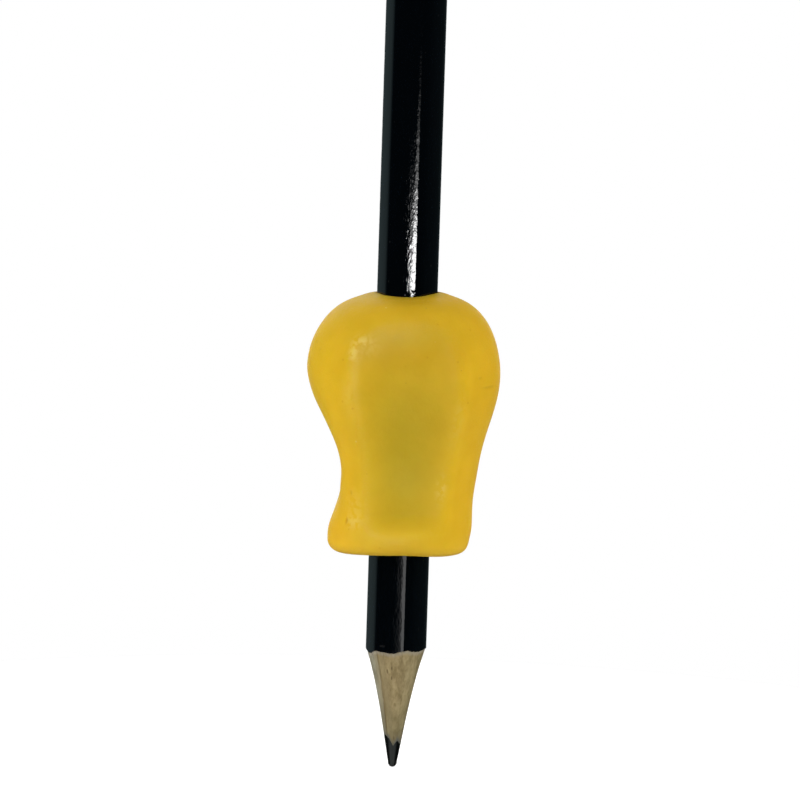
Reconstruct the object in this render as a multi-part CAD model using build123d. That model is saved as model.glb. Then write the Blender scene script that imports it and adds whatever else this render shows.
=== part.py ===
from build123d import *
from math import acos, atan2, cos, hypot, pi, radians, sin, tan
import os

# A six-sided wood-cased pencil, point down on the origin and standing along +Z,
# with a soft moulded finger grip pushed onto its barrel.
# The front of the grip faces -Y. Lengths are in millimetres and angles in degrees.

# Barrel
pencil_length = 175.0
barrel_across_flats = 7.1
barrel_corner_radius = 1.3
barrel_turn = -10.0
barrel_sides = 6
lacquer_thickness = 0.1

# Graphite and casing
core_diameter = 2.1
core_glue_line = 0.03
seam_corner = 1

# Sharpened end
point_radius = 0.6
core_exposed = 3.4
sharpened_length = 15.6
cone_hollow = 0.25
cutter_run_out = 2.0

# Grip body, with heights from the grip's own lower face
grip_from_point = 27.6
grip_length = 32.6
bore_clearance = 0.1
foot_radius = 9.09
foot_rounding = 1.6
taper_start = 5.0
taper_lag = 1.2
head_radius = 12.18
head_height = 22.4
head_lean = 0.2
mouth_radius = 4.15
face_skew = 1.8

# Finger pads: turn from the front towards +X, half width across, depth, lower and upper ends,
# and how far each end takes to run out
front_pad_turn = 0.0
front_pad_half_angle = 48.0
front_pad_depth = 1.9
front_pad_foot = 2.2
front_pad_foot_run = 3.4
front_pad_top = 30.6
front_pad_top_run = 7.5
thumb_pad_turn = -100.0
thumb_pad_half_angle = 62.0
thumb_pad_depth = 2.9
side_pad_turn = 140.0
side_pad_half_angle = 56.0
side_pad_depth = 2.6
side_pads_foot = 2.2
side_pads_foot_run = 9.3
side_pads_top = 24.0
side_pads_top_run = 12.5

# Fineness of the grip's lofted skin
points_around = 36
foot_steps = 3
body_steps = 9
dome_steps = 7

core_radius = core_diameter / 2
corner_reach = (barrel_across_flats / 2 - barrel_corner_radius) / cos(pi / barrel_sides) + barrel_corner_radius


def barrel_section(inset):
    """The barrel's rounded six-sided outline, inset from the lacquered surface."""
    outline = RegularPolygon(
        barrel_across_flats / 2 - inset,
        barrel_sides,
        major_radius=False,
        rotation=barrel_turn,
    )
    return fillet(outline.vertices(), barrel_corner_radius - inset)


def sharpened_blank():
    """Everything that a sharpener leaves: a blunt graphite point, a hollowed cone and the full barrel."""
    nose_to_edge = hypot(core_radius, core_exposed - point_radius)
    edge_angle = atan2(core_exposed - point_radius, core_radius)
    touch_angle = edge_angle - acos(point_radius / nose_to_edge)
    half_angle = (touch_angle - pi / 2) / 2
    nose_middle = (point_radius * cos(half_angle), 0, point_radius + point_radius * sin(half_angle))
    nose_end = (point_radius * cos(touch_angle), 0, point_radius + point_radius * sin(touch_angle))
    wood_start = Vector(core_radius, 0, core_exposed)
    wood_end = Vector(corner_reach, 0, sharpened_length)
    slope = (wood_end - wood_start).normalized()
    wood_middle = (wood_start + wood_end) / 2 + Vector(-slope.Z, 0, slope.X) * cone_hollow
    nose = ThreePointArc((0, 0, 0), nose_middle, nose_end)
    graphite = Line(nose_end, wood_start)
    wood = ThreePointArc(wood_start, wood_middle, wood_end)
    run_out_end = wood_end + (wood % 1) * cutter_run_out
    run_out = Line(wood_end, run_out_end)
    rim = Polyline(run_out_end, (run_out_end.X, 0, pencil_length), (0, 0, pencil_length), (0, 0, 0))
    profile = make_face([nose, graphite, wood, run_out, rim])
    return revolve(profile, Axis.Z)


def graphite_core(blank):
    """The graphite rod, pointed by the sharpener."""
    return extrude(Circle(core_radius), pencil_length) & blank


def casing_slats(blank):
    """The two grooved wooden halves, glued on a plane through two opposite corners."""
    casing = extrude(barrel_section(lacquer_thickness), pencil_length)
    casing -= extrude(Circle(core_radius + core_glue_line), pencil_length)
    casing &= blank
    front_angle = radians(barrel_turn + seam_corner * 360 / barrel_sides - 90)
    seam = Plane(origin=(0, 0, 0), x_dir=(0, 0, 1), z_dir=(cos(front_angle), sin(front_angle), 0))
    return split(casing, seam, Keep.TOP), split(casing, seam, Keep.BOTTOM)


def lacquer_coat(blank):
    """The lacquer film, cut back in scallops where the cone meets the flats."""
    film = extrude(barrel_section(0) - barrel_section(lacquer_thickness), pencil_length)
    return film & blank


def ease(share):
    """Rises from 0 to 1 as share goes from 0 to 1, level at both ends."""
    return (1 - cos(pi * min(max(share, 0.0), 1.0))) / 2


def bell_radius(height):
    """The grip's radius on its ridges, above the rounded lower edge and below the dome."""
    climb = max(height - taper_start, 0.0) / (head_height - taper_start)
    return foot_radius + (head_radius - foot_radius) * ease(climb ** taper_lag)


def pad_depth(turn, height):
    """How deep the finger pads lie below the ridges, at a turn from the front and a height."""
    front_along = ease((height - front_pad_foot) / front_pad_foot_run)
    front_along *= ease((front_pad_top - height) / front_pad_top_run)
    side_along = ease((height - side_pads_foot) / side_pads_foot_run)
    side_along *= ease((side_pads_top - height) / side_pads_top_run)
    pads = (
        (front_pad_turn, front_pad_half_angle, front_pad_depth * front_along),
        (thumb_pad_turn, thumb_pad_half_angle, thumb_pad_depth * side_along),
        (side_pad_turn, side_pad_half_angle, side_pad_depth * side_along),
    )
    depth = 0.0
    for pad_turn, half_angle, deepest in pads:
        away = abs((turn - pad_turn + 180) % 360 - 180)
        depth += deepest * ease(1 - away / half_angle)
    return depth


def grip_stations():
    """Heights and ridge radii, from the rounded lower edge over the body to the dome's mouth."""
    stations = []
    for step in range(foot_steps):
        angle = pi / 2 * step / foot_steps
        radius = foot_radius - foot_rounding + foot_rounding * sin(angle)
        stations.append((foot_rounding * (1 - cos(angle)), radius))
    for step in range(body_steps):
        height = foot_rounding + (head_height - foot_rounding) * step / body_steps
        stations.append((height, bell_radius(height)))
    for step in range(dome_steps + 1):
        angle = pi / 2 * step / dome_steps
        height = head_height + (grip_length - head_height) * sin(angle)
        stations.append((height, mouth_radius + (head_radius - mouth_radius) * cos(angle)))
    return stations


def grip_point(turn, height, ridge):
    """A point on the grip's skin. The soft moulding sits a little askew, so its faces rise towards +X."""
    radius = ridge - pad_depth(turn, height)
    across = radius * sin(radians(turn)) - head_lean * ease(height / head_height)
    rise = height + across * tan(radians(face_skew))
    return across, -radius * cos(radians(turn)), grip_from_point + rise


def pencil_grip():
    """The moulded sleeve: a bell with three dished finger pads and a bore that hugs the barrel."""
    turns = [360 * step / points_around for step in range(points_around)]
    sections = []
    for height, ridge in grip_stations():
        ring = [grip_point(turn, height, ridge) for turn in turns]
        sections.append(make_face(Spline(ring, periodic=True)))
    sleeve = loft(sections)
    bore = extrude(barrel_section(-bore_clearance), pencil_length)
    return sleeve - bore


blank = sharpened_blank()
slat_front, slat_rear = casing_slats(blank)
nodes = {
    "graphite_core": graphite_core(blank),
    "casing_slat_front": slat_front,
    "casing_slat_rear": slat_rear,
    "lacquer_coat": lacquer_coat(blank),
    "pencil_grip": pencil_grip(),
}

os.makedirs("parts", exist_ok=True)
for name, solid in nodes.items():
    export_step(solid, f"parts/{name}.step")
    box = solid.bounding_box()
    print(f"{name}: {solid.volume:.1f} mm3, z {box.min.Z:.2f} to {box.max.Z:.2f}")

travel_down = grip_from_point - sharpened_length
travel_up = pencil_length - grip_from_point - grip_length
print(f"grip travel: {-travel_down:.1f} to {travel_up:.1f} mm")
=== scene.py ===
import bmesh
import bpy
from math import atan2, cos, degrees, exp, hypot, pi, radians, sin, tan
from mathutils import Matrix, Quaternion, Vector, noise


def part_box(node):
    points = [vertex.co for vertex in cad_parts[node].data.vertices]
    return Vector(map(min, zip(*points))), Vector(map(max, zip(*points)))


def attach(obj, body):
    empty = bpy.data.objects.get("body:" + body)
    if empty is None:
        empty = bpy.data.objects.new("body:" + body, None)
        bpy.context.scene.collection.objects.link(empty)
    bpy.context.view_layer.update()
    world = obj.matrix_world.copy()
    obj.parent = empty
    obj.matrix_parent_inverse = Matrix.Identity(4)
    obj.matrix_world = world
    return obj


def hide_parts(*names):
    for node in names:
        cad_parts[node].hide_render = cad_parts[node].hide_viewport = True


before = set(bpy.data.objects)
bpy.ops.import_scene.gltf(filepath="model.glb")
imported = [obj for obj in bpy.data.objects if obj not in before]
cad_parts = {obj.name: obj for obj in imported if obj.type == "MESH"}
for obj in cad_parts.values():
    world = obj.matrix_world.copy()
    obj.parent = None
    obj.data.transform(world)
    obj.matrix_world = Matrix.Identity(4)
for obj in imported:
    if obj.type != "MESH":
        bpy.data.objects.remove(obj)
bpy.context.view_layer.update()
mm = 0.001  # pieces are shaped in millimetres and scaled to metres when finished
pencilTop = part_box("lacquer_coat")[1].z / mm
print("frame loaded:", ", ".join(sorted(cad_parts)))


# camera

cameraSet = {
    "elevation": 5.0,
    "distance": 0.650,
    "aim": (-0.000488, 0.0, 0.0467),
    "roll": 1.824,  # the pencil's top leans to the right
    "lens": 231.97,
    "sensor": 36.0,
    "nearest": 0.01,
}


def makeCamera():
    data = bpy.data.cameras.new("photoCamera")
    data.lens = cameraSet["lens"]
    data.sensor_width = cameraSet["sensor"]
    data.clip_start = cameraSet["nearest"]
    camera = bpy.data.objects.new("photoCamera", data)
    bpy.context.collection.objects.link(camera)
    rise = radians(cameraSet["elevation"])
    back = Vector((0, -cos(rise), sin(rise)))
    camera.location = Vector(cameraSet["aim"]) + back * cameraSet["distance"]
    camera.rotation_mode = "QUATERNION"
    level = (-back).to_track_quat("-Z", "Y")
    camera.rotation_quaternion = level @ Quaternion((0, 0, 1), radians(cameraSet["roll"]))
    bpy.context.scene.camera = camera


makeCamera()
print("camera set")


# shaping helpers, where a turn is in degrees from the front towards +X

def ease(share):
    # rises from 0 to 1, level at both ends
    return (1 - cos(pi * min(max(share, 0.0), 1.0))) / 2


def hump(value, middle, reach):
    return exp(-((value - middle) / reach) ** 2)


def softMin(first, second, blend):
    near = max(blend - abs(first - second), 0.0) / blend
    return min(first, second) - near * near * blend / 4


def turnOf(spot):
    return degrees(atan2(spot.x, -spot.y))


def turnGap(turn, middle):
    return abs((turn - middle + 180) % 360 - 180)


def atTurn(turn, radius, height):
    return Vector((radius * sin(radians(turn)), -radius * cos(radians(turn)), height))


def between(pairs, turn):
    # straight runs through (turn, value) pairs, closed round the axis
    turn = (turn - pairs[0][0]) % 360 + pairs[0][0]
    closedPairs = pairs + [(pairs[0][0] + 360, pairs[0][1])]
    for (low, first), (high, second) in zip(closedPairs, closedPairs[1:]):
        if low <= turn <= high:
            return first + (second - first) * (turn - low) / (high - low)
    return pairs[0][1]


def spinProfile(points, steps, startTurn=0.0, sweep=360.0, closed=True):
    # a profile of (radius, height) points turned about the axis, with capped ends on a part turn
    bm = bmesh.new()
    whole = sweep == 360.0
    verts = [bm.verts.new(atTurn(startTurn, radius, height)) for radius, height in points]
    geometry = list(verts)
    if closed and not whole:
        bm.faces.new(verts)
        geometry += list(bm.edges) + list(bm.faces)
    else:
        pairs = list(zip(verts, verts[1:]))
        if closed:
            pairs.append((verts[-1], verts[0]))
        geometry += [bm.edges.new(pair) for pair in pairs]
    bmesh.ops.spin(
        bm,
        geom=geometry,
        cent=(0, 0, 0),
        axis=(0, 0, 1),
        angle=radians(sweep),
        steps=steps,
        use_merge=whole,
    )
    bmesh.ops.remove_doubles(bm, verts=bm.verts, dist=1e-5)
    return bm


def finishPiece(name, bm, material, node, body, sharpAngle=180.0):
    bmesh.ops.recalc_face_normals(bm, faces=bm.faces)
    bmesh.ops.scale(bm, vec=(mm, mm, mm), verts=bm.verts)
    mesh = bpy.data.meshes.new(name)
    bm.to_mesh(mesh)
    bm.free()
    mesh.shade_smooth()
    mesh.set_sharp_from_angle(angle=radians(sharpAngle))
    mesh.materials.append(material)
    piece = bpy.data.objects.new(name, mesh)
    bpy.context.collection.objects.link(piece)
    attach(piece, body)
    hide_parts(node)
    print(name, "built with", len(mesh.polygons), "faces")


# node helpers: a socket takes a link or a plain value

def feed(tree, socket, value):
    if isinstance(value, bpy.types.NodeSocket):
        tree.links.new(value, socket)
    else:
        socket.default_value = value


def addNode(tree, kind, settings=None, **inputs):
    node = tree.nodes.new(kind)
    for name, value in (settings or {}).items():
        setattr(node, name, value)
    for name, value in inputs.items():
        feed(tree, node.inputs[name.replace("_", " ")], value)
    return node


def calc(tree, operation, first, second=0.0):
    node = addNode(tree, "ShaderNodeMath", {"operation": operation})
    feed(tree, node.inputs[0], first)
    feed(tree, node.inputs[1], second)
    return node.outputs[0]


def plus(tree, first, second):
    return calc(tree, "ADD", first, second)


def minus(tree, first, second):
    return calc(tree, "SUBTRACT", first, second)


def times(tree, first, second):
    return calc(tree, "MULTIPLY", first, second)


def spread(tree, value, low, high, start=0.0, end=1.0):
    # goes smoothly from start to end as the value goes from low to high
    node = addNode(tree, "ShaderNodeMapRange", {"interpolation_type": "SMOOTHSTEP"})
    for index, entry in enumerate((value, low, high, start, end)):
        feed(tree, node.inputs[index], entry)
    return node.outputs[0]


def fade(tree, value, low, high, start=1.0):
    return spread(tree, value, low, high, start, 0.0)


def opaque(tone):
    # a plain red, green and blue gets an alpha, and a link passes through
    return (*tone, 1.0) if isinstance(tone, tuple) else tone


def tint(tree, share, first, second, way="MIX"):
    node = addNode(tree, "ShaderNodeMix", {"data_type": "RGBA", "blend_type": way})
    feed(tree, node.inputs[0], share)
    feed(tree, node.inputs[6], opaque(first))
    feed(tree, node.inputs[7], opaque(second))
    return node.outputs[2]


def wash(tree, share, base, factor):
    return tint(tree, share, base, factor, "MULTIPLY")


def painted(tree, name):
    return addNode(tree, "ShaderNodeAttribute", {"attribute_name": name}).outputs["Fac"]


def awayFrom(tree, around, turn, fold):
    # degrees from a turn, folded back and forth
    return calc(tree, "PINGPONG", minus(tree, around["Turn"], turn), fold)


def placeGroup(tree, group, **inputs):
    node = tree.nodes.new("ShaderNodeGroup")
    node.node_tree = group
    for name, value in inputs.items():
        feed(tree, node.inputs[name], value)
    return node.outputs


def startGroup(name, inputs, outputs):
    group = bpy.data.node_groups.new(name, "ShaderNodeTree")
    for label, value in inputs:
        socket = group.interface.new_socket(label, in_out="INPUT", socket_type="NodeSocketFloat")
        socket.default_value = value
    for label in outputs:
        group.interface.new_socket(label, in_out="OUTPUT", socket_type="NodeSocketFloat")
    given = group.nodes.new("NodeGroupInput").outputs
    result = group.nodes.new("NodeGroupOutput").inputs
    return group, given, result


def startMaterial(name):
    material = bpy.data.materials.new(name)
    material.use_nodes = True
    tree = material.node_tree
    return material, tree, tree.nodes["Principled BSDF"]


def roughen(tree, shader, height, depth, strength):
    # depth is in metres, the bump's own unit
    bump = addNode(tree, "ShaderNodeBump", None, Strength=strength, Distance=depth, Height=height)
    tree.links.new(bump.outputs["Normal"], shader.inputs["Normal"])


# shared effects

def makeAroundAxis():
    # where a spot lies about the pencil's axis: turn in degrees, radius and height in millimetres
    group, _, result = startGroup("aroundAxis", [], ["Turn", "Radius", "Height"])
    place = addNode(group, "ShaderNodeTexCoord").outputs["Object"]
    split = addNode(group, "ShaderNodeSeparateXYZ", None, Vector=place).outputs
    across = times(group, split["X"], split["X"])
    along = times(group, split["Y"], split["Y"])
    radius = calc(group, "SQRT", plus(group, across, along))
    angle = calc(group, "ARCTAN2", split["X"], times(group, split["Y"], -1.0))
    feed(group, result["Turn"], times(group, angle, 180 / pi))
    feed(group, result["Radius"], calc(group, "DIVIDE", radius, mm))
    feed(group, result["Height"], calc(group, "DIVIDE", split["Z"], mm))
    return group


def stretchedPlace(group, given):
    # Object coordinates counted in cells of the given size, which are longer along the pencil
    place = addNode(group, "ShaderNodeTexCoord").outputs["Object"]
    fine = calc(group, "DIVIDE", 1 / mm, given["Size"])
    coarse = calc(group, "DIVIDE", fine, given["Stretch"])
    sizes = addNode(group, "ShaderNodeCombineXYZ", None, X=fine, Y=fine, Z=coarse).outputs[0]
    return addNode(group, "ShaderNodeMapping", None, Vector=place, Scale=sizes).outputs[0]


def makeMottle():
    # cloudy noise of a size in millimetres
    inputs = [("Size", 1.0), ("Stretch", 1.0), ("Detail", 2.0), ("Shift", 0.0)]
    group, given, result = startGroup("mottle", inputs, ["Value"])
    shifted = addNode(group, "ShaderNodeVectorMath", {"operation": "ADD"})
    feed(group, shifted.inputs[0], stretchedPlace(group, given))
    feed(group, shifted.inputs[1], given["Shift"])
    cloud = addNode(group, "ShaderNodeTexNoise", None, Vector=shifted.outputs[0], Scale=1.0)
    feed(group, cloud.inputs["Detail"], given["Detail"])
    feed(group, result["Value"], cloud.outputs[0])
    return group


def makeSpecks():
    # scattered spots: cell size in millimetres, spot width as a share of it,
    # and the share of cells that have a spot
    inputs = [("Size", 1.0), ("Stretch", 1.0), ("Width", 0.2), ("Share", 0.2)]
    group, given, result = startGroup("specks", inputs, ["Mask"])
    place = stretchedPlace(group, given)
    cells = addNode(group, "ShaderNodeTexVoronoi", None, Vector=place, Scale=1.0)
    lot = addNode(group, "ShaderNodeSeparateColor", None, Color=cells.outputs["Color"]).outputs[0]
    chosen = calc(group, "LESS_THAN", lot, given["Share"])
    inner = times(group, given["Width"], 0.5)
    spot = fade(group, cells.outputs["Distance"], inner, given["Width"])
    feed(group, result["Mask"], times(group, spot, chosen))
    return group


aroundAxis = makeAroundAxis()
mottle = makeMottle()
specks = makeSpecks()
print("shared effects made")


# barrel and sharpened end, which four pieces share

barrel = {
    "acrossFlats": 7.1,
    "faceTurn": -10.0,  # one flat faces the front, a little to the left
    "sharpness": 13.8,  # a higher one makes the six corners crisper
    "crown": 0.025,  # the flats are a little convex
    "film": 0.1,
    # the lacquer's lower edge: heights at the corners, from the front right one round
    "paintCusps": (15.35, 15.4, 15.45, 15.5, 15.1, 15.15),
    # and how deep the scallop is on each flat, from the front one round
    "paintDips": (0.35, 0.3, 0.42, 0.5, 0.36, 0.5),
    "paintArch": 1.5,  # a higher one makes the scallops narrower
    "paintRagged": 0.08,
    "paintTeeth": ((9.0, 0.0, 1.0), (23.0, 5.0, 0.6), (45.0, 8.0, 0.5)),  # noise radius, height and share
}
point = {
    "noseRadius": 0.6,
    "noseTop": 0.93,  # share of the nose's radius at which the cone meets it
    "coreRadius": 1.05,
    "woodStart": 3.4,
    "flare": 0.22,  # share of the cone's width that comes as a flare near the lacquer
    "flarePower": 2.8,
    "leadEdge": [  # height at which the wood ends round the lead, by turn
        (-180, 3.1), (-150, 3.9), (-118, 3.4), (-80, 4.3), (-45, 4.05), (-27, 3.75),
        (1, 2.8), (30, 3.5), (58, 3.0), (95, 3.8), (130, 3.0), (155, 3.7),
    ],
    "leadRagged": 0.08,
}


def barrelRadius(turn, inset=0.0):
    # six flats that run smoothly into rounded corners
    power = barrel["sharpness"]
    facing = 0.0
    for side in range(6):
        facing += max(cos(radians(turn - barrel["faceTurn"] - 60 * side)), 0.0) ** power
    fallen = barrel["crown"] * sin(radians(3 * (turn - barrel["faceTurn"]))) ** 2
    return (barrel["acrossFlats"] / 2 - inset) * facing ** (-1 / power) - fallen


def paintHeight(turn):
    # the lacquer's lower edge: a scallop on each flat, a little ragged
    pastCorner = turn - barrel["faceTurn"] + 30
    face = int((pastCorner % 360) // 60)
    fromFace = pastCorner % 60 - 30
    dip = barrel["paintDips"][face] * cos(pi * fromFace / 60) ** barrel["paintArch"]
    before, after = barrel["paintCusps"][face - 1], barrel["paintCusps"][face]
    cusps = before + (after - before) * (fromFace + 30) / 60
    ragged = 0.0
    for radius, height, share in barrel["paintTeeth"]:
        ragged += share * noise.noise(atTurn(turn, radius, height))
    return cusps - dip + barrel["paintRagged"] * ragged


def leadHeight(turn):
    ragged = noise.noise(atTurn(turn, 4.0, 2.0))
    return between(point["leadEdge"], turn) + point["leadRagged"] * ragged


def coneRadius(turn, height):
    # hollowed cone from the lead's width to the barrel under the lacquer's edge
    core, start, nose = point["coreRadius"], point["woodStart"], point["noseRadius"]
    if height < start:
        down = (start - height) / (start - nose)
        return core + (nose * point["noseTop"] - core) * down
    share = min((height - start) / (paintHeight(turn) - start), 1.0)
    flared = (1 - point["flare"]) * share + point["flare"] * share ** point["flarePower"]
    return core + (barrelRadius(turn, barrel["film"]) - core) * flared


# graphite rod, blunt and bare below the wood

graphiteSet = {
    "steps": 144,
    "noseSteps": 7,
    "noseWidth": 0.95,  # the nose is a little narrower than round
    "coneSteps": 14,
    "tuck": 0.3,  # the rod draws in under the wood's edge
    "tuckWidth": 0.9,
    "tuckRun": 1.0,
    "wobble": 0.012,
    "wornBelow": 3.24,
    "litSideTurn": -4.0,  # the first of three lighter sides, a painted highlight for the light on the lead's front
    "tones": {
        "black": (0.0012, 0.0015, 0.0014),
        "dull": (0.004, 0.0046, 0.0044),
        "paintedLit": (0.0222, 0.0249, 0.024),
        "bright": (0.0367, 0.040, 0.039),
        "dust": (0.10, 0.095, 0.085),
    },
}


def graphiteFinish():
    tones = graphiteSet["tones"]
    material, tree, shader = startMaterial("graphiteSheen")
    around = placeGroup(tree, aroundAxis)
    cloud = placeGroup(tree, mottle, Size=0.5, Stretch=0.4, Detail=4.0)["Value"]
    rings = placeGroup(tree, mottle, Size=2.5, Stretch=0.03, Detail=3.0)["Value"]
    base = tint(tree, cloud, tones["black"], tones["dull"])
    # painted highlight: three sides of the rod, one of them at the front, are drawn lighter
    paintedLit = tint(tree, cloud, tones["paintedLit"], tones["bright"])
    litSide = fade(tree, awayFrom(tree, around, graphiteSet["litSideTurn"], 60.0), 16.0, 40.0)
    base = tint(tree, litSide, base, paintedLit)
    dust = placeGroup(tree, specks, Size=0.35, Width=0.25, Share=0.25)["Mask"]
    base = tint(tree, times(tree, dust, 0.25), base, tones["dust"])
    feed(tree, shader.inputs["Base Color"], base)
    feed(tree, shader.inputs["Roughness"], spread(tree, rings, 0.3, 0.7, 0.30, 0.46))
    shader.inputs["Specular IOR Level"].default_value = 0.03
    scored = times(tree, rings, spread(tree, around["Height"], 0.2, 1.2, 1.0, 0.4))
    roughen(tree, shader, plus(tree, scored, times(tree, cloud, 0.5)), 0.00006, 0.8)
    return material


def makeGraphite():
    nose, core, start = point["noseRadius"], point["coreRadius"], point["woodStart"]
    profile = []
    for step in range(graphiteSet["noseSteps"] + 1):
        angle = pi / 2 * step / graphiteSet["noseSteps"]
        profile.append((nose * graphiteSet["noseWidth"] * sin(angle), nose * (1 - cos(angle))))
    for step in range(1, graphiteSet["coneSteps"] + 1):
        profile.append((core, nose + (start - nose) * step / graphiteSet["coneSteps"]))
    tucked = start + graphiteSet["tuck"]
    profile.append((core * graphiteSet["tuckWidth"], tucked))
    profile.append((core, tucked + graphiteSet["tuckRun"]))
    profile += [(core, pencilTop), (0.0, pencilTop)]
    bm = spinProfile(profile, graphiteSet["steps"], closed=False)
    for vert in bm.verts:
        turn, height = turnOf(vert.co), vert.co.z
        radius = hypot(vert.co.x, vert.co.y)
        if nose < height <= start + 1e-4:
            share = (height - nose) / (start - nose)
            height = nose + share * (leadHeight(turn) - nose)
            radius = coneRadius(turn, height)
        elif abs(height - tucked) < 1e-4:
            height = leadHeight(turn) + graphiteSet["tuck"]
        if height < graphiteSet["wornBelow"]:
            radius *= 1 + graphiteSet["wobble"] * noise.noise(atTurn(turn, 2.0, height * 1.5))
        vert.co = atTurn(turn, radius, height)
    finishPiece("graphiteRod", bm, graphiteFinish(), "graphite_core", "pencil", 50)


makeGraphite()


# casing slats, two grooved halves with the seam on a corner

slatSet = {
    "seamTurn": -40.0,
    "steps": 180,
    "coneSteps": 44,
    "grooveRadius": 1.08,
    "fibre": 0.012,  # depth of the cut fibres on the cone
    "seamWaver": 0.7,  # how far the stain along the seam wanders
    "slatFront": {
        "pale": (0.408, 0.321, 0.160),
        "deep": (0.238, 0.179, 0.081),
        # worn is a painted shade that darkens the lower cone
        "worn": (0.75, 0.775, 0.76),
        "shift": 0.0,
    },
    "slatRear": {
        "pale": (0.318, 0.300, 0.212),
        "deep": (0.212, 0.195, 0.131),
        # worn is a painted shade that darkens the lower cone
        "worn": (0.66, 0.67, 0.67),
        "shift": 7.3,
    },
    "tones": {
        "figure": (0.62, 0.58, 0.50),
        "fleck": (0.165, 0.112, 0.042),
        "pore": (0.120, 0.076, 0.032),
        "besideSeam": (0.27, 0.215, 0.112),
        "glue": (0.15, 0.105, 0.04),
        "rightSide": (0.82, 0.845, 0.86),
        "rightEdge": (0.80, 0.83, 0.82),
        "smudge": (0.12, 0.11, 0.09),
        "primer": (0.31, 0.28, 0.225),
        "leadRub": (0.11, 0.115, 0.105),
    },
}


def woodFinish(name):
    own, tones = slatSet[name], slatSet["tones"]
    shift = own["shift"]
    material, tree, shader = startMaterial(name + "Wood")
    around = placeGroup(tree, aroundAxis)
    upCone = painted(tree, "upCone")
    streak = placeGroup(tree, mottle, Size=0.6, Stretch=7.0, Detail=3.0, Shift=shift)["Value"]
    fibre = placeGroup(tree, mottle, Size=0.12, Stretch=14.0, Detail=2.0, Shift=shift)["Value"]
    patch = placeGroup(tree, mottle, Size=1.3, Stretch=1.9, Detail=3.0, Shift=shift)["Value"]
    figure = placeGroup(tree, mottle, Size=0.26, Stretch=2.4, Detail=3.0, Shift=shift)["Value"]
    fleck = placeGroup(tree, specks, Size=1.05, Stretch=1.5, Width=0.32, Share=0.25)["Mask"]
    pores = placeGroup(tree, specks, Size=0.5, Stretch=3.2, Width=0.30, Share=0.18)["Mask"]

    # grain, flecks and pores
    grain = plus(tree, times(tree, streak, 0.4), times(tree, patch, 0.6))
    base = tint(tree, spread(tree, grain, 0.34, 0.66), own["deep"], own["pale"])
    base = tint(tree, spread(tree, fibre, 0.45, 0.75, 0.0, 0.25), base, own["pale"])
    base = wash(tree, fade(tree, figure, 0.34, 0.56, 0.40), base, tones["figure"])
    base = tint(tree, times(tree, fleck, 0.6), base, tones["fleck"])
    base = tint(tree, times(tree, pores, 0.75), base, tones["pore"])

    # stain along the seam, in millimetres from it
    aside = times(tree, awayFrom(tree, around, slatSet["seamTurn"], 90.0), around["Radius"])
    aside = times(tree, aside, pi / 180)
    aside = plus(tree, aside, times(tree, minus(tree, patch, 0.5), slatSet["seamWaver"]))
    base = tint(tree, fade(tree, aside, 0.3, 1.3, 0.55), base, tones["besideSeam"])
    glue = times(tree, fade(tree, aside, 0.05, 0.24, 0.85), spread(tree, patch, 0.38, 0.56, 0.35, 1.0))
    base = tint(tree, glue, base, tones["glue"])

    # the right side is greyer and darker, a painted shade for the side that gets less light
    fromRight = awayFrom(tree, around, 90.0, 180.0)
    base = wash(tree, fade(tree, fromRight, 45.0, 90.0), base, tones["rightSide"])
    base = wash(tree, fade(tree, fromRight, 12.0, 42.0), base, tones["rightEdge"])

    # graphite at the lower end, primer under the lacquer, and a painted shade that darkens the cone
    # towards the point
    smudge = times(tree, fade(tree, around["Height"], 3.0, 5.2, 0.55), spread(tree, streak, 0.3, 0.7))
    base = tint(tree, smudge, base, tones["smudge"])
    primer = times(tree, spread(tree, upCone, 0.945, 0.985), spread(tree, fibre, 0.3, 0.6, 0.25, 0.75))
    base = tint(tree, primer, base, tones["primer"])
    leadRub = times(tree, fade(tree, upCone, 0.0, 0.07, 0.8), spread(tree, streak, 0.3, 0.6, 0.3, 1.0))
    base = tint(tree, leadRub, base, tones["leadRub"])
    # painted shade: worn darkens the cone towards the point, where it faces down
    base = wash(tree, fade(tree, around["Height"], 5.0, 10.0), base, own["worn"])

    feed(tree, shader.inputs["Base Color"], base)
    feed(tree, shader.inputs["Roughness"], spread(tree, grain, 0.3, 0.7, 0.78, 0.6))
    shader.inputs["Specular IOR Level"].default_value = 0.3
    roughen(tree, shader, plus(tree, fibre, times(tree, pores, -0.7)), 0.00008, 0.7)
    return material


def makeSlat(name, node, startTurn):
    # laid out on a plain tube first, with heights of 0 to 1 up the cone and 2 at the top end
    skinAt, grooveAt, topAt = 3.0, 1.0, 2.0
    outer = [(skinAt, step / slatSet["coneSteps"]) for step in range(slatSet["coneSteps"] + 1)]
    outer += [(skinAt, share) for share in (1.01, 1.1, topAt)]
    groove = [(grooveAt, share) for share in (topAt, 1.1, 0.6, 0.12)]
    bm = spinProfile(outer + groove, slatSet["steps"], startTurn, 180.0)
    upCone = bm.verts.layers.float.new("upCone")
    for vert in bm.verts:
        turn, share = turnOf(vert.co), vert.co.z
        vert[upCone] = min(share, 1.0)
        onSkin = hypot(vert.co.x, vert.co.y) > (skinAt + grooveAt) / 2
        top, edge = paintHeight(turn), leadHeight(turn)
        if share <= 1.0:
            height = edge + share * (top - edge)
        else:
            height = top + (share - 1.0) * (pencilTop - top)
        radius = slatSet["grooveRadius"]
        if onSkin and share <= 1.0:
            shown = (1 - share ** 6) * min(share * 12, 1.0)  # the fibres run out at both ends of the cone
            fibre = slatSet["fibre"] * noise.noise(atTurn(turn, 7.0, height * 0.9)) * shown
            radius = coneRadius(turn, height) + fibre
        elif onSkin:
            radius = barrelRadius(turn, barrel["film"])
        vert.co = atTurn(turn, radius, height)
    finishPiece(name, bm, woodFinish(name), node, "pencil", 40)


makeSlat("slatFront", "casing_slat_front", slatSet["seamTurn"])
makeSlat("slatRear", "casing_slat_rear", slatSet["seamTurn"] + 180)


# lacquer film on the six flats

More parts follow.
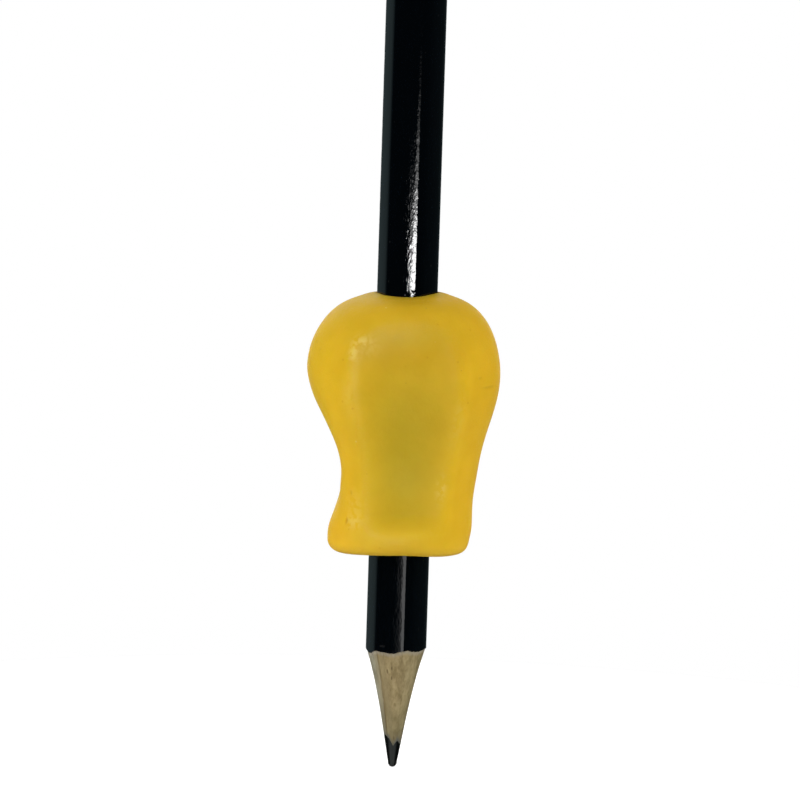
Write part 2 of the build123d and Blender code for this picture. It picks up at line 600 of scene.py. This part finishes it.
lacquerSet = {
    "steps": 360,
    "levels": (0.0, 0.12, 0.4, 1.2, 4.0, 12.0, 30.0, 60.0, 100.0, 150.0),
    "lip": 0.08,
    "rubTurn": -27.7,  # a small dull rub near the lower edge
    "rubHeight": 15.80,
    "tones": {
        "deep": (0.0002, 0.0006, 0.0012),
        "pale": (0.0005, 0.0012, 0.0022),
        "dust": (0.06, 0.06, 0.057),
        "worn": (0.16, 0.14, 0.11),
        "rub": (0.009, 0.009, 0.0095),
    },
}


def lacquerFinish():
    tones = lacquerSet["tones"]
    material, tree, shader = startMaterial("blackLacquer")
    around = placeGroup(tree, aroundAxis)
    peel = placeGroup(tree, mottle, Size=0.8, Stretch=2.5, Detail=2.0)["Value"]
    brush = placeGroup(tree, mottle, Size=0.20, Stretch=2.4, Detail=1.5)["Value"]
    grit = placeGroup(tree, mottle, Size=0.07, Stretch=1.6, Detail=2.0)["Value"]
    dust = placeGroup(tree, specks, Size=1.3, Stretch=1.5, Width=0.10, Share=0.25)["Mask"]
    base = tint(tree, peel, tones["deep"], tones["pale"])
    base = tint(tree, times(tree, dust, 0.12), base, tones["dust"])
    worn = times(tree, fade(tree, around["Height"], 15.0, 15.6, 0.05), spread(tree, grit, 0.52, 0.7))
    base = tint(tree, worn, base, tones["worn"])
    rubAside = calc(tree, "ABSOLUTE", minus(tree, around["Turn"], lacquerSet["rubTurn"]))
    rubAbove = calc(tree, "ABSOLUTE", minus(tree, around["Height"], lacquerSet["rubHeight"]))
    rub = times(tree, fade(tree, rubAside, 4.0, 5.8), fade(tree, rubAbove, 0.07, 0.17))
    base = tint(tree, rub, base, tones["rub"])
    feed(tree, shader.inputs["Base Color"], base)
    feed(tree, shader.inputs["Roughness"], spread(tree, grit, 0.35, 0.75, 0.012, 0.045))
    relief = plus(tree, times(tree, peel, 0.8), times(tree, brush, 0.46))
    relief = plus(tree, relief, times(tree, grit, 0.015))
    roughen(tree, shader, relief, 0.00002, 0.7)
    return material


def makeLacquer():
    # laid out as a tube of two walls first, with heights above the lower edge
    outerAt, lipAt, innerAt = 4.0, 3.7, 3.0
    tall = pencilTop - max(barrel["paintCusps"])
    outer = [(outerAt, level) for level in lacquerSet["levels"]]
    outer += [(outerAt, tall - lacquerSet["lip"]), (lipAt, tall)]
    inner = [(innerAt, tall), (innerAt, tall / 2), (innerAt, 0.03)]
    bm = spinProfile(outer + inner, lacquerSet["steps"])
    for vert in bm.verts:
        turn, level = turnOf(vert.co), vert.co.z
        wall = hypot(vert.co.x, vert.co.y) - innerAt
        edge = paintHeight(turn)
        height = edge + level * (pencilTop - edge) / tall
        radius = barrelRadius(turn, barrel["film"] * (1 - wall))
        vert.co = atTurn(turn, radius, height)
    finishPiece("lacquerFilm", bm, lacquerFinish(), "lacquer_coat", "pencil", 50)


makeLacquer()


# soft grip, heights from its own lower face

gripSet = {
    "foot": 27.6,  # height of the lower face on the pencil
    "length": 32.6,
    "boreClearance": 0.04,
    "boreRadius": 3.8,  # plain bore before it is pressed to the barrel's six sides
    "pressedReach": 3.0,  # how far from the bore the six sides still show
    "footRadius": 9.09,
    "footRounding": 1.6,
    "footFlat": 2.0,  # width of the flat ring round the bore, below
    "taperStart": 5.0,
    "taperLag": 1.2,
    "headRadius": 12.18,
    "headHeight": 22.4,
    "headLean": 0.2,
    "mouthRadius": 4.15,
    "mouthLip": 0.28,
    "lipRounding": 0.3,
    "skew": 1.8,
    "waviness": 0.05,
    "waveLength": 5.0,
    "steps": 384,
    "footSteps": 9,
    "bodySteps": 110,
    "domeSteps": 90,
    "sag": {
        "facing": 80.0,  # turn at which the front's share has run out
        "footReach": 4.0,
        "footLift": 0.22,  # the lower face rises a little at the front
        "footDrop": 0.25,  # and hangs a little on the right
        "footDropRun": 6.0,
        "upperStart": 24.0,
        "upperRun": 6.0,
        "mouthDip": 0.4,  # the mouth dips at the front
        "mouthDipReach": 4.0,
        "mouthRise": 0.19,  # and is drawn up where it hugs the barrel
        "mouthRiseReach": 2.2,
        "shoulder": 0.13,
        "shoulderRadius": 6.5,
        "shoulderReach": 1.8,
        "cornerTuck": 0.3,  # the lower right edge is rounder
        "cornerHeight": 1.2,
        "cornerReach": 1.2,
    },
    "frontPad": {
        "turn": 3.0,
        "rimTurn": 35.8,
        "reach": 70.0,  # no cut past this turn from its middle
        "steepest": 75.0,
        "hollow": 0.35,  # the middle lies this far below a flat cut
        "rimSoftness": 0.85,
        "top": 29.5,  # the pad runs out level at this height
        "topSlope": 0.5,
        "foot": 1.2,
        "footRun": 4.4,
        "footRise": 1.0,
        "pinch": 0.20,  # the left rim comes in a little at this height
        "pinchHeight": 12.0,
        "pinchReach": 8.0,
    },
    "sidePads": {
        "thumb": {"turn": -100.0, "halfAngle": 62.0, "depth": 2.8},
        "finger": {"turn": 140.0, "halfAngle": 56.0, "depth": 2.5},
        "crisp": 1.25,
        "foot": 2.2,
        "footRun": 9.3,
        "top": 24.0,
        "topRun": 12.5,
    },
    "trims": [  # side, height, reach up and down, and how far the skin stands out there
        (1, 30.0, 3.5, 0.09),
        (1, 20.0, 4.5, 0.12),
        (1, 9.5, 3.0, 0.22),
        (-1, 28.5, 4.5, 0.155),
        (-1, 21.5, 2.2, -0.13),
        (-1, 16.0, 2.6, 0.22),
        (-1, 9.5, 3.0, 0.22),
        (-1, 8.8, 1.5, 0.20),
        (-1, 4.9, 1.5, -0.12),
    ],
    "nicks": [  # turn, height, half length round, half length up, depth
        (62.0, 21.2, 1.4, 0.10, 0.13),
        (52.0, 22.5, 0.35, 0.14, 0.07),
        (-41.0, 8.1, 0.16, 0.32, 0.10),
        (-48.0, 4.5, 0.18, 0.32, 0.16),
        (-72.0, 26.8, 0.45, 0.16, 0.06),
        (-63.0, 26.0, 0.25, 0.2, 0.04),
        (118.0, 16.0, 0.6, 0.15, 0.12),
        (-140.0, 21.0, 0.3, 0.4, 0.1),
    ],
    "scuffsAndGlints": [  # turn, height, half length round, half length up, strength; pale scuffs that are partly painted glints
        (-28.5, 27.2, 1.1, 0.7, 1.0),
        (-32.5, 25.7, 0.6, 0.9, 1.0),
        (-34.0, 20.5, 0.7, 2.4, 0.25),
        (-25.0, 26.4, 1.6, 1.0, 0.35),
        (-38.0, 6.2, 1.2, 1.9, 0.4),
        (-40.0, 4.4, 1.2, 0.8, 0.7),
        (39.0, 17.6, 0.6, 2.6, 0.35),
        (35.0, 8.6, 0.5, 1.4, 1.0),
        (96.0, 24.0, 1.4, 0.8, 0.6),
        (-150.0, 6.0, 1.2, 1.2, 0.7),
    ],
    "shades": [  # as above, for skin drawn darker and more olive: partly the thin wall over the pencil, partly painted shade where less light falls, as on the pad's top, the left bulge and round the mouth
        (3.0, 28.0, 7.0, 1.8, 0.40),
        (3.0, 10.5, 5.0, 3.6, 0.25),
        (0.0, 2.4, 7.5, 1.4, 0.20),
        (-72.0, 23.0, 5.0, 3.5, 0.18),
        (140.0, 12.0, 6.0, 4.0, 0.10),
        (-100.0, 12.0, 6.0, 4.0, 0.08),
        (4.0, 32.6, 6.0, 0.15, 0.80),
    ],
    "paintedShadows": [  # as above, for painted shadow round the mouth and painted shade in the pad's foot
        (4.0, 31.3, 4.5, 1.2, 0.12),
        (4.0, 32.1, 3.6, 0.6, 0.18),
        (4.0, 32.6, 4.0, 0.13, 0.22),
        (2.0, 3.9, 6.0, 1.3, 0.17),
        (180.0, 31.6, 5.0, 1.2, 0.10),
    ],
    "paintedSheens": [  # as above, for a pale painted sheen
        (-4.0, 28.2, 5.0, 2.2, 0.7),
        (-34.0, 22.0, 1.2, 4.5, 0.4),
        (-24.0, 26.3, 2.2, 1.6, 0.6),
        (-14.0, 2.2, 6.0, 1.2, 0.5),
        (5.0, 9.5, 4.0, 2.0, 0.2),
        (180.0, 25.0, 6.0, 2.5, 0.5),
    ],
    "paint": {
        "thinDepth": 2.6,  # a pad this deep shows its wall as thin
        "thinTop": 29.6,
        "thinRun": 14.4,
        "hazeEdge": 0.2,
        "rimBlur": 0.9,
        "nickDarkening": 3.0,
        "mostDarkening": 0.6,
    },
    "tones": {
        "deep": (0.70, 0.430, 0.0155),
        "pale": (0.735, 0.456, 0.0190),
        "rightSide": (1.04, 0.99, 0.95),
        "lowLeft": (1.04, 0.985, 1.08),
        "thin": (0.81, 0.92, 1.10),
        "rimPaintedLight": (1.08, 1.13, 1.06),
        "paintedSheen": (0.85, 0.80, 0.50),
        "scuffAndGlint": (0.85, 0.65, 0.14),
        "dust": (0.85, 0.68, 0.20),
        "shadeAndNickDark": (0.30, 0.15, 0.012),
        "dirt": (0.33, 0.17, 0.012),
        "freckle": (0.56, 0.25, 0.004),
    },
}


def bellRadius(height):
    foot, head, start = gripSet["footRadius"], gripSet["headRadius"], gripSet["taperStart"]
    climb = max(height - start, 0.0) / (gripSet["headHeight"] - start)
    return foot + (head - foot) * ease(climb ** gripSet["taperLag"])


def sideDepth(turn, height):
    pads = gripSet["sidePads"]
    along = ease((height - pads["foot"]) / pads["footRun"])
    along *= ease((pads["top"] - height) / pads["topRun"])
    depth = 0.0
    for name in ("thumb", "finger"):
        pad = pads[name]
        inward = 1 - turnGap(turn, pad["turn"]) / pad["halfAngle"]
        depth += pad["depth"] * along * ease(inward * pads["crisp"])
    return depth


def frontRadius(turn, height, ridge):
    # a slightly hollow cut across the front, which rises to a lip at the foot and runs out on the head
    pad = gripSet["frontPad"]
    away = turnGap(turn, pad["turn"])
    if away > pad["reach"]:
        return 99.0  # well outside the skin
    if turn < pad["turn"]:
        away *= 1 + pad["pinch"] * hump(height, pad["pinchHeight"], pad["pinchReach"])
    cut = bellRadius(min(height, gripSet["headHeight"])) * cos(radians(pad["rimTurn"]))
    cut -= pad["hollow"] * max(1 - (away / pad["rimTurn"]) ** 2, 0.0)
    cut /= cos(radians(min(away, pad["steepest"])))
    shelf = ridge - pad["topSlope"] * (pad["top"] - height)
    floor = -softMin(-cut, -shelf, pad["rimSoftness"])
    risen = 1 - ease((height - pad["foot"]) / pad["footRun"])
    return floor + (ridge + pad["footRise"] - floor) * risen


def spotSum(spots, turn, height, radius):
    # soft round spots on the skin, added up
    total = 0.0
    for spotTurn, spotHeight, halfRound, halfUp, most in spots:
        up = (height - spotHeight) / halfUp
        if abs(up) < 3:
            around = radians(turnGap(turn, spotTurn)) * radius / halfRound
            total += most * exp(-around * around - up * up)
    return total


def gripFinish():
    tones = gripSet["tones"]
    material, tree, shader = startMaterial("softYellow")
    around = placeGroup(tree, aroundAxis)
    cloud = placeGroup(tree, mottle, Size=3.2, Detail=3.0)["Value"]
    patch = placeGroup(tree, mottle, Size=0.9, Detail=4.0)["Value"]
    blot = placeGroup(tree, mottle, Size=0.7, Detail=3.0)["Value"]
    grain = placeGroup(tree, mottle, Size=0.22, Detail=3.0)["Value"]
    dust = placeGroup(tree, specks, Size=3.1, Width=0.055, Share=0.25)["Mask"]
    dirt = placeGroup(tree, specks, Size=2.3, Width=0.06, Share=0.16)["Mask"]
    freckles = placeGroup(tree, specks, Size=1.3, Width=0.16, Share=0.16)["Mask"]
    thin, rim = painted(tree, "thinWallAndShade"), painted(tree, "padRim")

    # rubber, warmer on the right and paler low on the left, both painted light; duller where its wall is
    # thin and where shade is painted
    base = tint(tree, spread(tree, cloud, 0.3, 0.7), tones["deep"], tones["pale"])
    fromRight = awayFrom(tree, around, 90.0, 180.0)
    # painted light: the right side drawn warmer
    base = wash(tree, fade(tree, fromRight, 20.0, 70.0), base, tones["rightSide"])
    # painted sheen: paler and bluer low on the left
    low = fade(tree, around["Height"], 36.0, 46.0)
    base = wash(tree, times(tree, spread(tree, fromRight, 120.0, 150.0), low), base, tones["lowLeft"])
    # olive where the wall is thin, and darker where shade is painted
    base = wash(tree, thin, base, tones["thin"])
    # painted light: the skin beside the pad's rims drawn paler
    rimPaintedLight = times(tree, fade(tree, around["Height"], 50.0, 54.5), rim)
    base = wash(tree, rimPaintedLight, base, tones["rimPaintedLight"])

    # painted sheen, scuffs partly painted as glints, dust, painted shade with darker nicks, dirt and
    # freckles
    base = tint(tree, times(tree, painted(tree, "paintedSheen"), 0.06), base, tones["paintedSheen"])
    # pale scuffs, partly painted glints on the rims
    scuffAndGlint = times(tree, painted(tree, "scuffAndGlint"), spread(tree, blot, 0.38, 0.56))
    base = tint(tree, times(tree, scuffAndGlint, 0.6), base, tones["scuffAndGlint"])
    base = tint(tree, times(tree, dust, 0.4), base, tones["dust"])
    # painted shade round the mouth and in the pad's foot, with the nicks drawn darker
    base = tint(tree, painted(tree, "shadeAndNickDark"), base, tones["shadeAndNickDark"])
    base = tint(tree, times(tree, dirt, 0.35), base, tones["dirt"])
    freckles = times(tree, freckles, fade(tree, thin, 0.1, 0.5, 0.35))
    base = tint(tree, freckles, base, tones["freckle"])

    feed(tree, shader.inputs["Base Color"], base)
    feed(tree, shader.inputs["Roughness"], spread(tree, grain, 0.3, 0.7, 0.44, 0.60))
    feed(tree, shader.inputs["Coat Weight"], times(tree, rim, spread(tree, grain, 0.40, 0.68, 0.25, 0.5)))
    shader.inputs["Coat Roughness"].default_value = 0.34
    shader.inputs["Specular IOR Level"].default_value = 0.2
    shader.inputs["IOR"].default_value = 1.45
    shader.inputs["Subsurface Weight"].default_value = 0.35
    shader.inputs["Subsurface Radius"].default_value = (1.0, 0.55, 0.12)
    shader.inputs["Subsurface Scale"].default_value = 0.0018
    relief = plus(tree, times(tree, grain, 0.5), times(tree, patch, 0.9))
    relief = plus(tree, relief, times(tree, dirt, -0.5))
    roughen(tree, shader, relief, 0.00012, 0.5)
    return material


def gripProfile():
    # once round the wall: lower face, foot's rounding, body, dome, mouth and bore
    footRadius, rounding = gripSet["footRadius"], gripSet["footRounding"]
    headRadius, headHeight = gripSet["headRadius"], gripSet["headHeight"]
    bore, mouth, top = gripSet["boreRadius"], gripSet["mouthRadius"], gripSet["length"]
    lip = gripSet["mouthLip"]
    inset = lip * gripSet["lipRounding"]
    profile = [(bore, lip), (bore + inset, inset), (bore + lip, 0.0), (bore + gripSet["footFlat"], 0.0)]
    for step in range(gripSet["footSteps"]):
        angle = pi / 2 * step / gripSet["footSteps"]
        profile.append((footRadius - rounding + rounding * sin(angle), rounding * (1 - cos(angle))))
    for step in range(gripSet["bodySteps"]):
        height = rounding + (headHeight - rounding) * step / gripSet["bodySteps"]
        profile.append((bellRadius(height), height))
    for step in range(gripSet["domeSteps"] + 1):
        angle = pi / 2 * step / gripSet["domeSteps"]
        height = headHeight + (top - headHeight) * sin(angle)
        profile.append((mouth + (headRadius - mouth) * cos(angle), height))
    profile += [(bore + inset, top - inset), (bore, top - lip)]
    profile += [(bore, top * share) for share in (0.8, 0.5, 0.2)]
    return profile


def settled(turn, radius, height, ridge, skin):
    # where a spot ends up as the soft moulding leans, sags and follows the barrel
    sag = gripSet["sag"]
    spot = atTurn(turn, radius, gripSet["foot"] + height)
    spot.x -= gripSet["headLean"] * ease(height / gripSet["headHeight"]) * skin
    facing = ease(1 - turnGap(turn, 0.0) / sag["facing"])
    lower = ease(1 - height / sag["footReach"])
    upper = ease((height - sag["upperStart"]) / sag["upperRun"])
    fromBore = ridge - gripSet["boreRadius"]
    spot.z += sag["footLift"] * facing * lower
    spot.z -= sag["footDrop"] * ease(spot.x / sag["footDropRun"]) * lower
    spot.z -= sag["mouthDip"] * facing * ease(1 - fromBore / sag["mouthDipReach"]) * upper
    spot.z += sag["mouthRise"] * ease(1 - fromBore / sag["mouthRiseReach"]) * upper
    spot.z -= sag["shoulder"] * hump(ridge, sag["shoulderRadius"], sag["shoulderReach"]) * upper
    spot.z += spot.x * tan(radians(gripSet["skew"]))
    return spot


def makeGrip():
    pad, paint, sag = gripSet["frontPad"], gripSet["paint"], gripSet["sag"]
    bm = spinProfile(gripProfile(), gripSet["steps"])
    thinWallAndShade = bm.verts.layers.float.new("thinWallAndShade")
    padRim = bm.verts.layers.float.new("padRim")
    scuffAndGlint = bm.verts.layers.float.new("scuffAndGlint")
    paintedSheen = bm.verts.layers.float.new("paintedSheen")
    shadeAndNickDark = bm.verts.layers.float.new("shadeAndNickDark")
    for vert in bm.verts:
        turn, height = turnOf(vert.co), vert.co.z
        ridge = hypot(vert.co.x, vert.co.y)
        fromBore = ridge - gripSet["boreRadius"]
        skin = ease(fromBore / gripSet["pressedReach"])  # 0 on the bore's wall, 1 on the outer skin
        beside, cut = ridge - sideDepth(turn, height), frontRadius(turn, height, ridge)
        radius = softMin(beside, cut, pad["rimSoftness"])
        nick = spotSum(gripSet["nicks"], turn, height, ridge)

        # what the material reads
        thin = min(max((ridge - radius) / paint["thinDepth"], 0.0), 1.0)
        thin *= ease((paint["thinTop"] - height) / paint["thinRun"]) * skin
        # the wall's thinness plus the painted shade spots
        vert[thinWallAndShade] = min(thin + spotSum(gripSet["shades"], turn, height, ridge), 1.0)
        vert[padRim] = hump(beside, cut, paint["rimBlur"]) * skin
        vert[scuffAndGlint] = min(spotSum(gripSet["scuffsAndGlints"], turn, height, ridge), 1.0)
        inPad = ease((beside - radius) / paint["hazeEdge"]) if height > gripSet["headHeight"] else 1.0
        vert[paintedSheen] = min(spotSum(gripSet["paintedSheens"], turn, height, ridge) * inPad, 1.0)
        # painted shade round the mouth and in the pad's foot, with the nicks drawn darker
        darkening = nick * paint["nickDarkening"] + spotSum(gripSet["paintedShadows"], turn, height, ridge)
        vert[shadeAndNickDark] = min(darkening, paint["mostDarkening"])

        # trims, waves, nicks and the rounder corner, then the press of the barrel
        toRight = sin(radians(turn))
        for side, middle, reach, out in gripSet["trims"]:
            radius += out * hump(height, middle, reach) * max(side * toRight, 0.0)
        wave = noise.noise(atTurn(turn, ridge / gripSet["waveLength"], height / gripSet["waveLength"]))
        radius += gripSet["waviness"] * wave
        radius -= nick
        corner = hump(height, sag["cornerHeight"], sag["cornerReach"]) * max(toRight, 0.0) ** 3
        radius -= sag["cornerTuck"] * corner
        pressed = barrelRadius(turn, -gripSet["boreClearance"]) + fromBore
        radius = radius * skin + pressed * (1 - skin)
        vert.co = settled(turn, radius, height, ridge, skin)
    finishPiece("gripMoulding", bm, gripFinish(), "pencil_grip", "grip")


makeGrip()


# pale floor, soft lamps and a white surround

floorSet = {"radius": 0.10, "segments": 96, "paleness": 0.8, "roughness": 0.9, "gloss": 0.1, "lift": 0.55}
lampAim = (0.0, 0.0, 0.045)
lamps = [  # name, turn, elevation, distance, width, height, watts, and whether gloss shows it
    ("keySoftbox", -72.0, 16.0, 0.60, 0.42, 0.42, 2.55, False),
    ("fillSoftbox", 71.0, 20.0, 0.60, 0.42, 0.42, 2.76, False),
    ("frontSoftbox", 4.0, 30.0, 0.60, 0.30, 0.30, 0.15, False),
    ("rearSoftbox", 180.0, 14.0, 0.60, 0.46, 0.40, 1.7, False),
    ("topSoftbox", -165.0, 32.0, 0.60, 0.46, 0.40, 0.60, True),
    ("rimLamp", -38.0, 18.0, 0.60, 0.16, 0.16, 0.45, True),
]
# narrow lamps that draw the bright strip on the front flat and the sheen of the sides
# name, distance, lower and upper edge, left and right turn, and the glow that gloss then shows
glints = [
    ("glintFoot", 0.40, 0.0334, 0.0350, -14.8, 2.0, 1.20),
    ("glintBar", 0.40, 0.0350, 0.0400, -16.2, 2.0, 1.20),
    ("glintNeck", 0.40, 0.0400, 0.0476, -13.8, 2.0, 1.00),
    ("glintWing", 0.40, 0.0400, 0.0515, -16.4, -13.8, 0.15),
    ("glintFade", 0.40, 0.0476, 0.0515, -13.8, 1.0, 0.26),
    ("glintSlim", 0.40, 0.0515, 0.0572, -13.0, 0.0, 0.15),
    ("glintTail", 0.40, 0.0572, 0.0642, -12.2, -0.8, 0.075),
    ("glintTip", 0.40, 0.0642, 0.0690, -11.2, -0.8, 0.035),
    ("glintEnd", 0.40, 0.0690, 0.0740, -10.6, -0.8, 0.014),
    ("glintLast", 0.40, 0.0740, 0.0810, -10.0, -0.8, 0.004),
    ("glintVeil", 0.40, 0.0494, 0.0600, -17.4, -15.6, 0.014),
    ("glintRear", 0.40, -0.0200, 0.1500, 157.0, 168.0, 0.06),
    ("glintLeft", 0.40, -0.0200, 0.1500, -168.0, -157.0, 0.06),
    ("glintCard", 0.12, -0.0040, 0.0180, -12.4, 2.0, 0.078),
    ("glintMist", 0.12, -0.0040, 0.0180, -16.4, -12.4, 0.013),
]
faceGloss = 0.04  # share of a lamp's light that the lacquer reflects
roomLight = {
    "below": 0.015,
    "behind": 0.115,
    "behindRun": 0.8,
    "above": 0.20,
    "aboveStart": 0.05,
    "aboveFull": 0.5,
    "plain": (1.0, 1.0, 1.0),
    "shine": (0.72, 1.0, 1.04),  # what gloss shows of the room
}


def makeFloor():
    bm = bmesh.new()
    bmesh.ops.create_circle(bm, cap_ends=True, segments=floorSet["segments"], radius=floorSet["radius"])
    mesh = bpy.data.meshes.new("paleFloor")
    bm.to_mesh(mesh)
    bm.free()
    floor = bpy.data.objects.new("paleFloor", mesh)
    bpy.context.collection.objects.link(floor)
    material, tree, shader = startMaterial("palePaper")
    shader.inputs["Base Color"].default_value = opaque((floorSet["paleness"],) * 3)
    shader.inputs["Roughness"].default_value = floorSet["roughness"]
    shader.inputs["Specular IOR Level"].default_value = floorSet["gloss"]
    shader.inputs["Emission Color"].default_value = opaque((1.0, 1.0, 1.0))
    seen = addNode(tree, "ShaderNodeLightPath").outputs["Is Camera Ray"]
    feed(tree, shader.inputs["Emission Strength"], times(tree, seen, floorSet["lift"]))
    mesh.materials.append(material)
    floor.visible_glossy = False  # the small floor would show in the gloss as a hard grey band


def makeLamp(name, place, aim, width, tall, watts, shines=True):
    data = bpy.data.lights.new(name, "AREA")
    data.shape = "RECTANGLE"
    data.size = width
    data.size_y = tall
    data.energy = watts
    lamp = bpy.data.objects.new(name, data)
    bpy.context.collection.objects.link(lamp)
    lamp.location = place
    lamp.rotation_mode = "QUATERNION"
    lamp.rotation_quaternion = (aim - place).to_track_quat("-Z", "Y")
    lamp.visible_camera = False
    lamp.visible_glossy = shines


def makeLamps():
    aim = Vector(lampAim)
    for name, turn, elevation, distance, width, tall, watts, shines in lamps:
        rise = radians(elevation)
        place = aim + atTurn(turn, distance * cos(rise), distance * sin(rise))
        makeLamp(name, place, aim, width, tall, watts, shines)
    for name, distance, low, high, left, right, glow in glints:
        middle, halfTurn, height = (left + right) / 2, (right - left) / 2, (low + high) / 2
        width, tall = 2 * distance * tan(radians(halfTurn)), high - low
        watts = pi * width * tall * glow / faceGloss
        makeLamp(name, atTurn(middle, distance, height), Vector((0, 0, height)), width, tall, watts)


def makeWorld():
    # white to the camera; a dim room that is lighter above and behind for everything else
    world = bpy.data.worlds.new("paleRoom")
    bpy.context.scene.world = world
    world.use_nodes = True
    tree = world.node_tree
    toward = addNode(tree, "ShaderNodeTexCoord").outputs["Generated"]
    split = addNode(tree, "ShaderNodeSeparateXYZ", None, Vector=toward).outputs
    below, behind = roomLight["below"], roomLight["below"] + roomLight["behind"]
    wall = spread(tree, split["Y"], 0.0, roomLight["behindRun"], below, behind)
    start, full = roomLight["aboveStart"], roomLight["aboveFull"]
    level = spread(tree, split["Z"], start, full, wall, roomLight["above"])
    rays = addNode(tree, "ShaderNodeLightPath").outputs
    background = tree.nodes["Background"]
    shine = tint(tree, rays["Is Glossy Ray"], roomLight["plain"], roomLight["shine"])
    feed(tree, background.inputs["Color"], shine)
    feed(tree, background.inputs["Strength"], calc(tree, "MAXIMUM", level, rays["Is Camera Ray"]))
    bpy.context.scene.view_settings.view_transform = "Standard"


makeFloor()
makeLamps()
makeWorld()
print("floor, lamps and surround set")
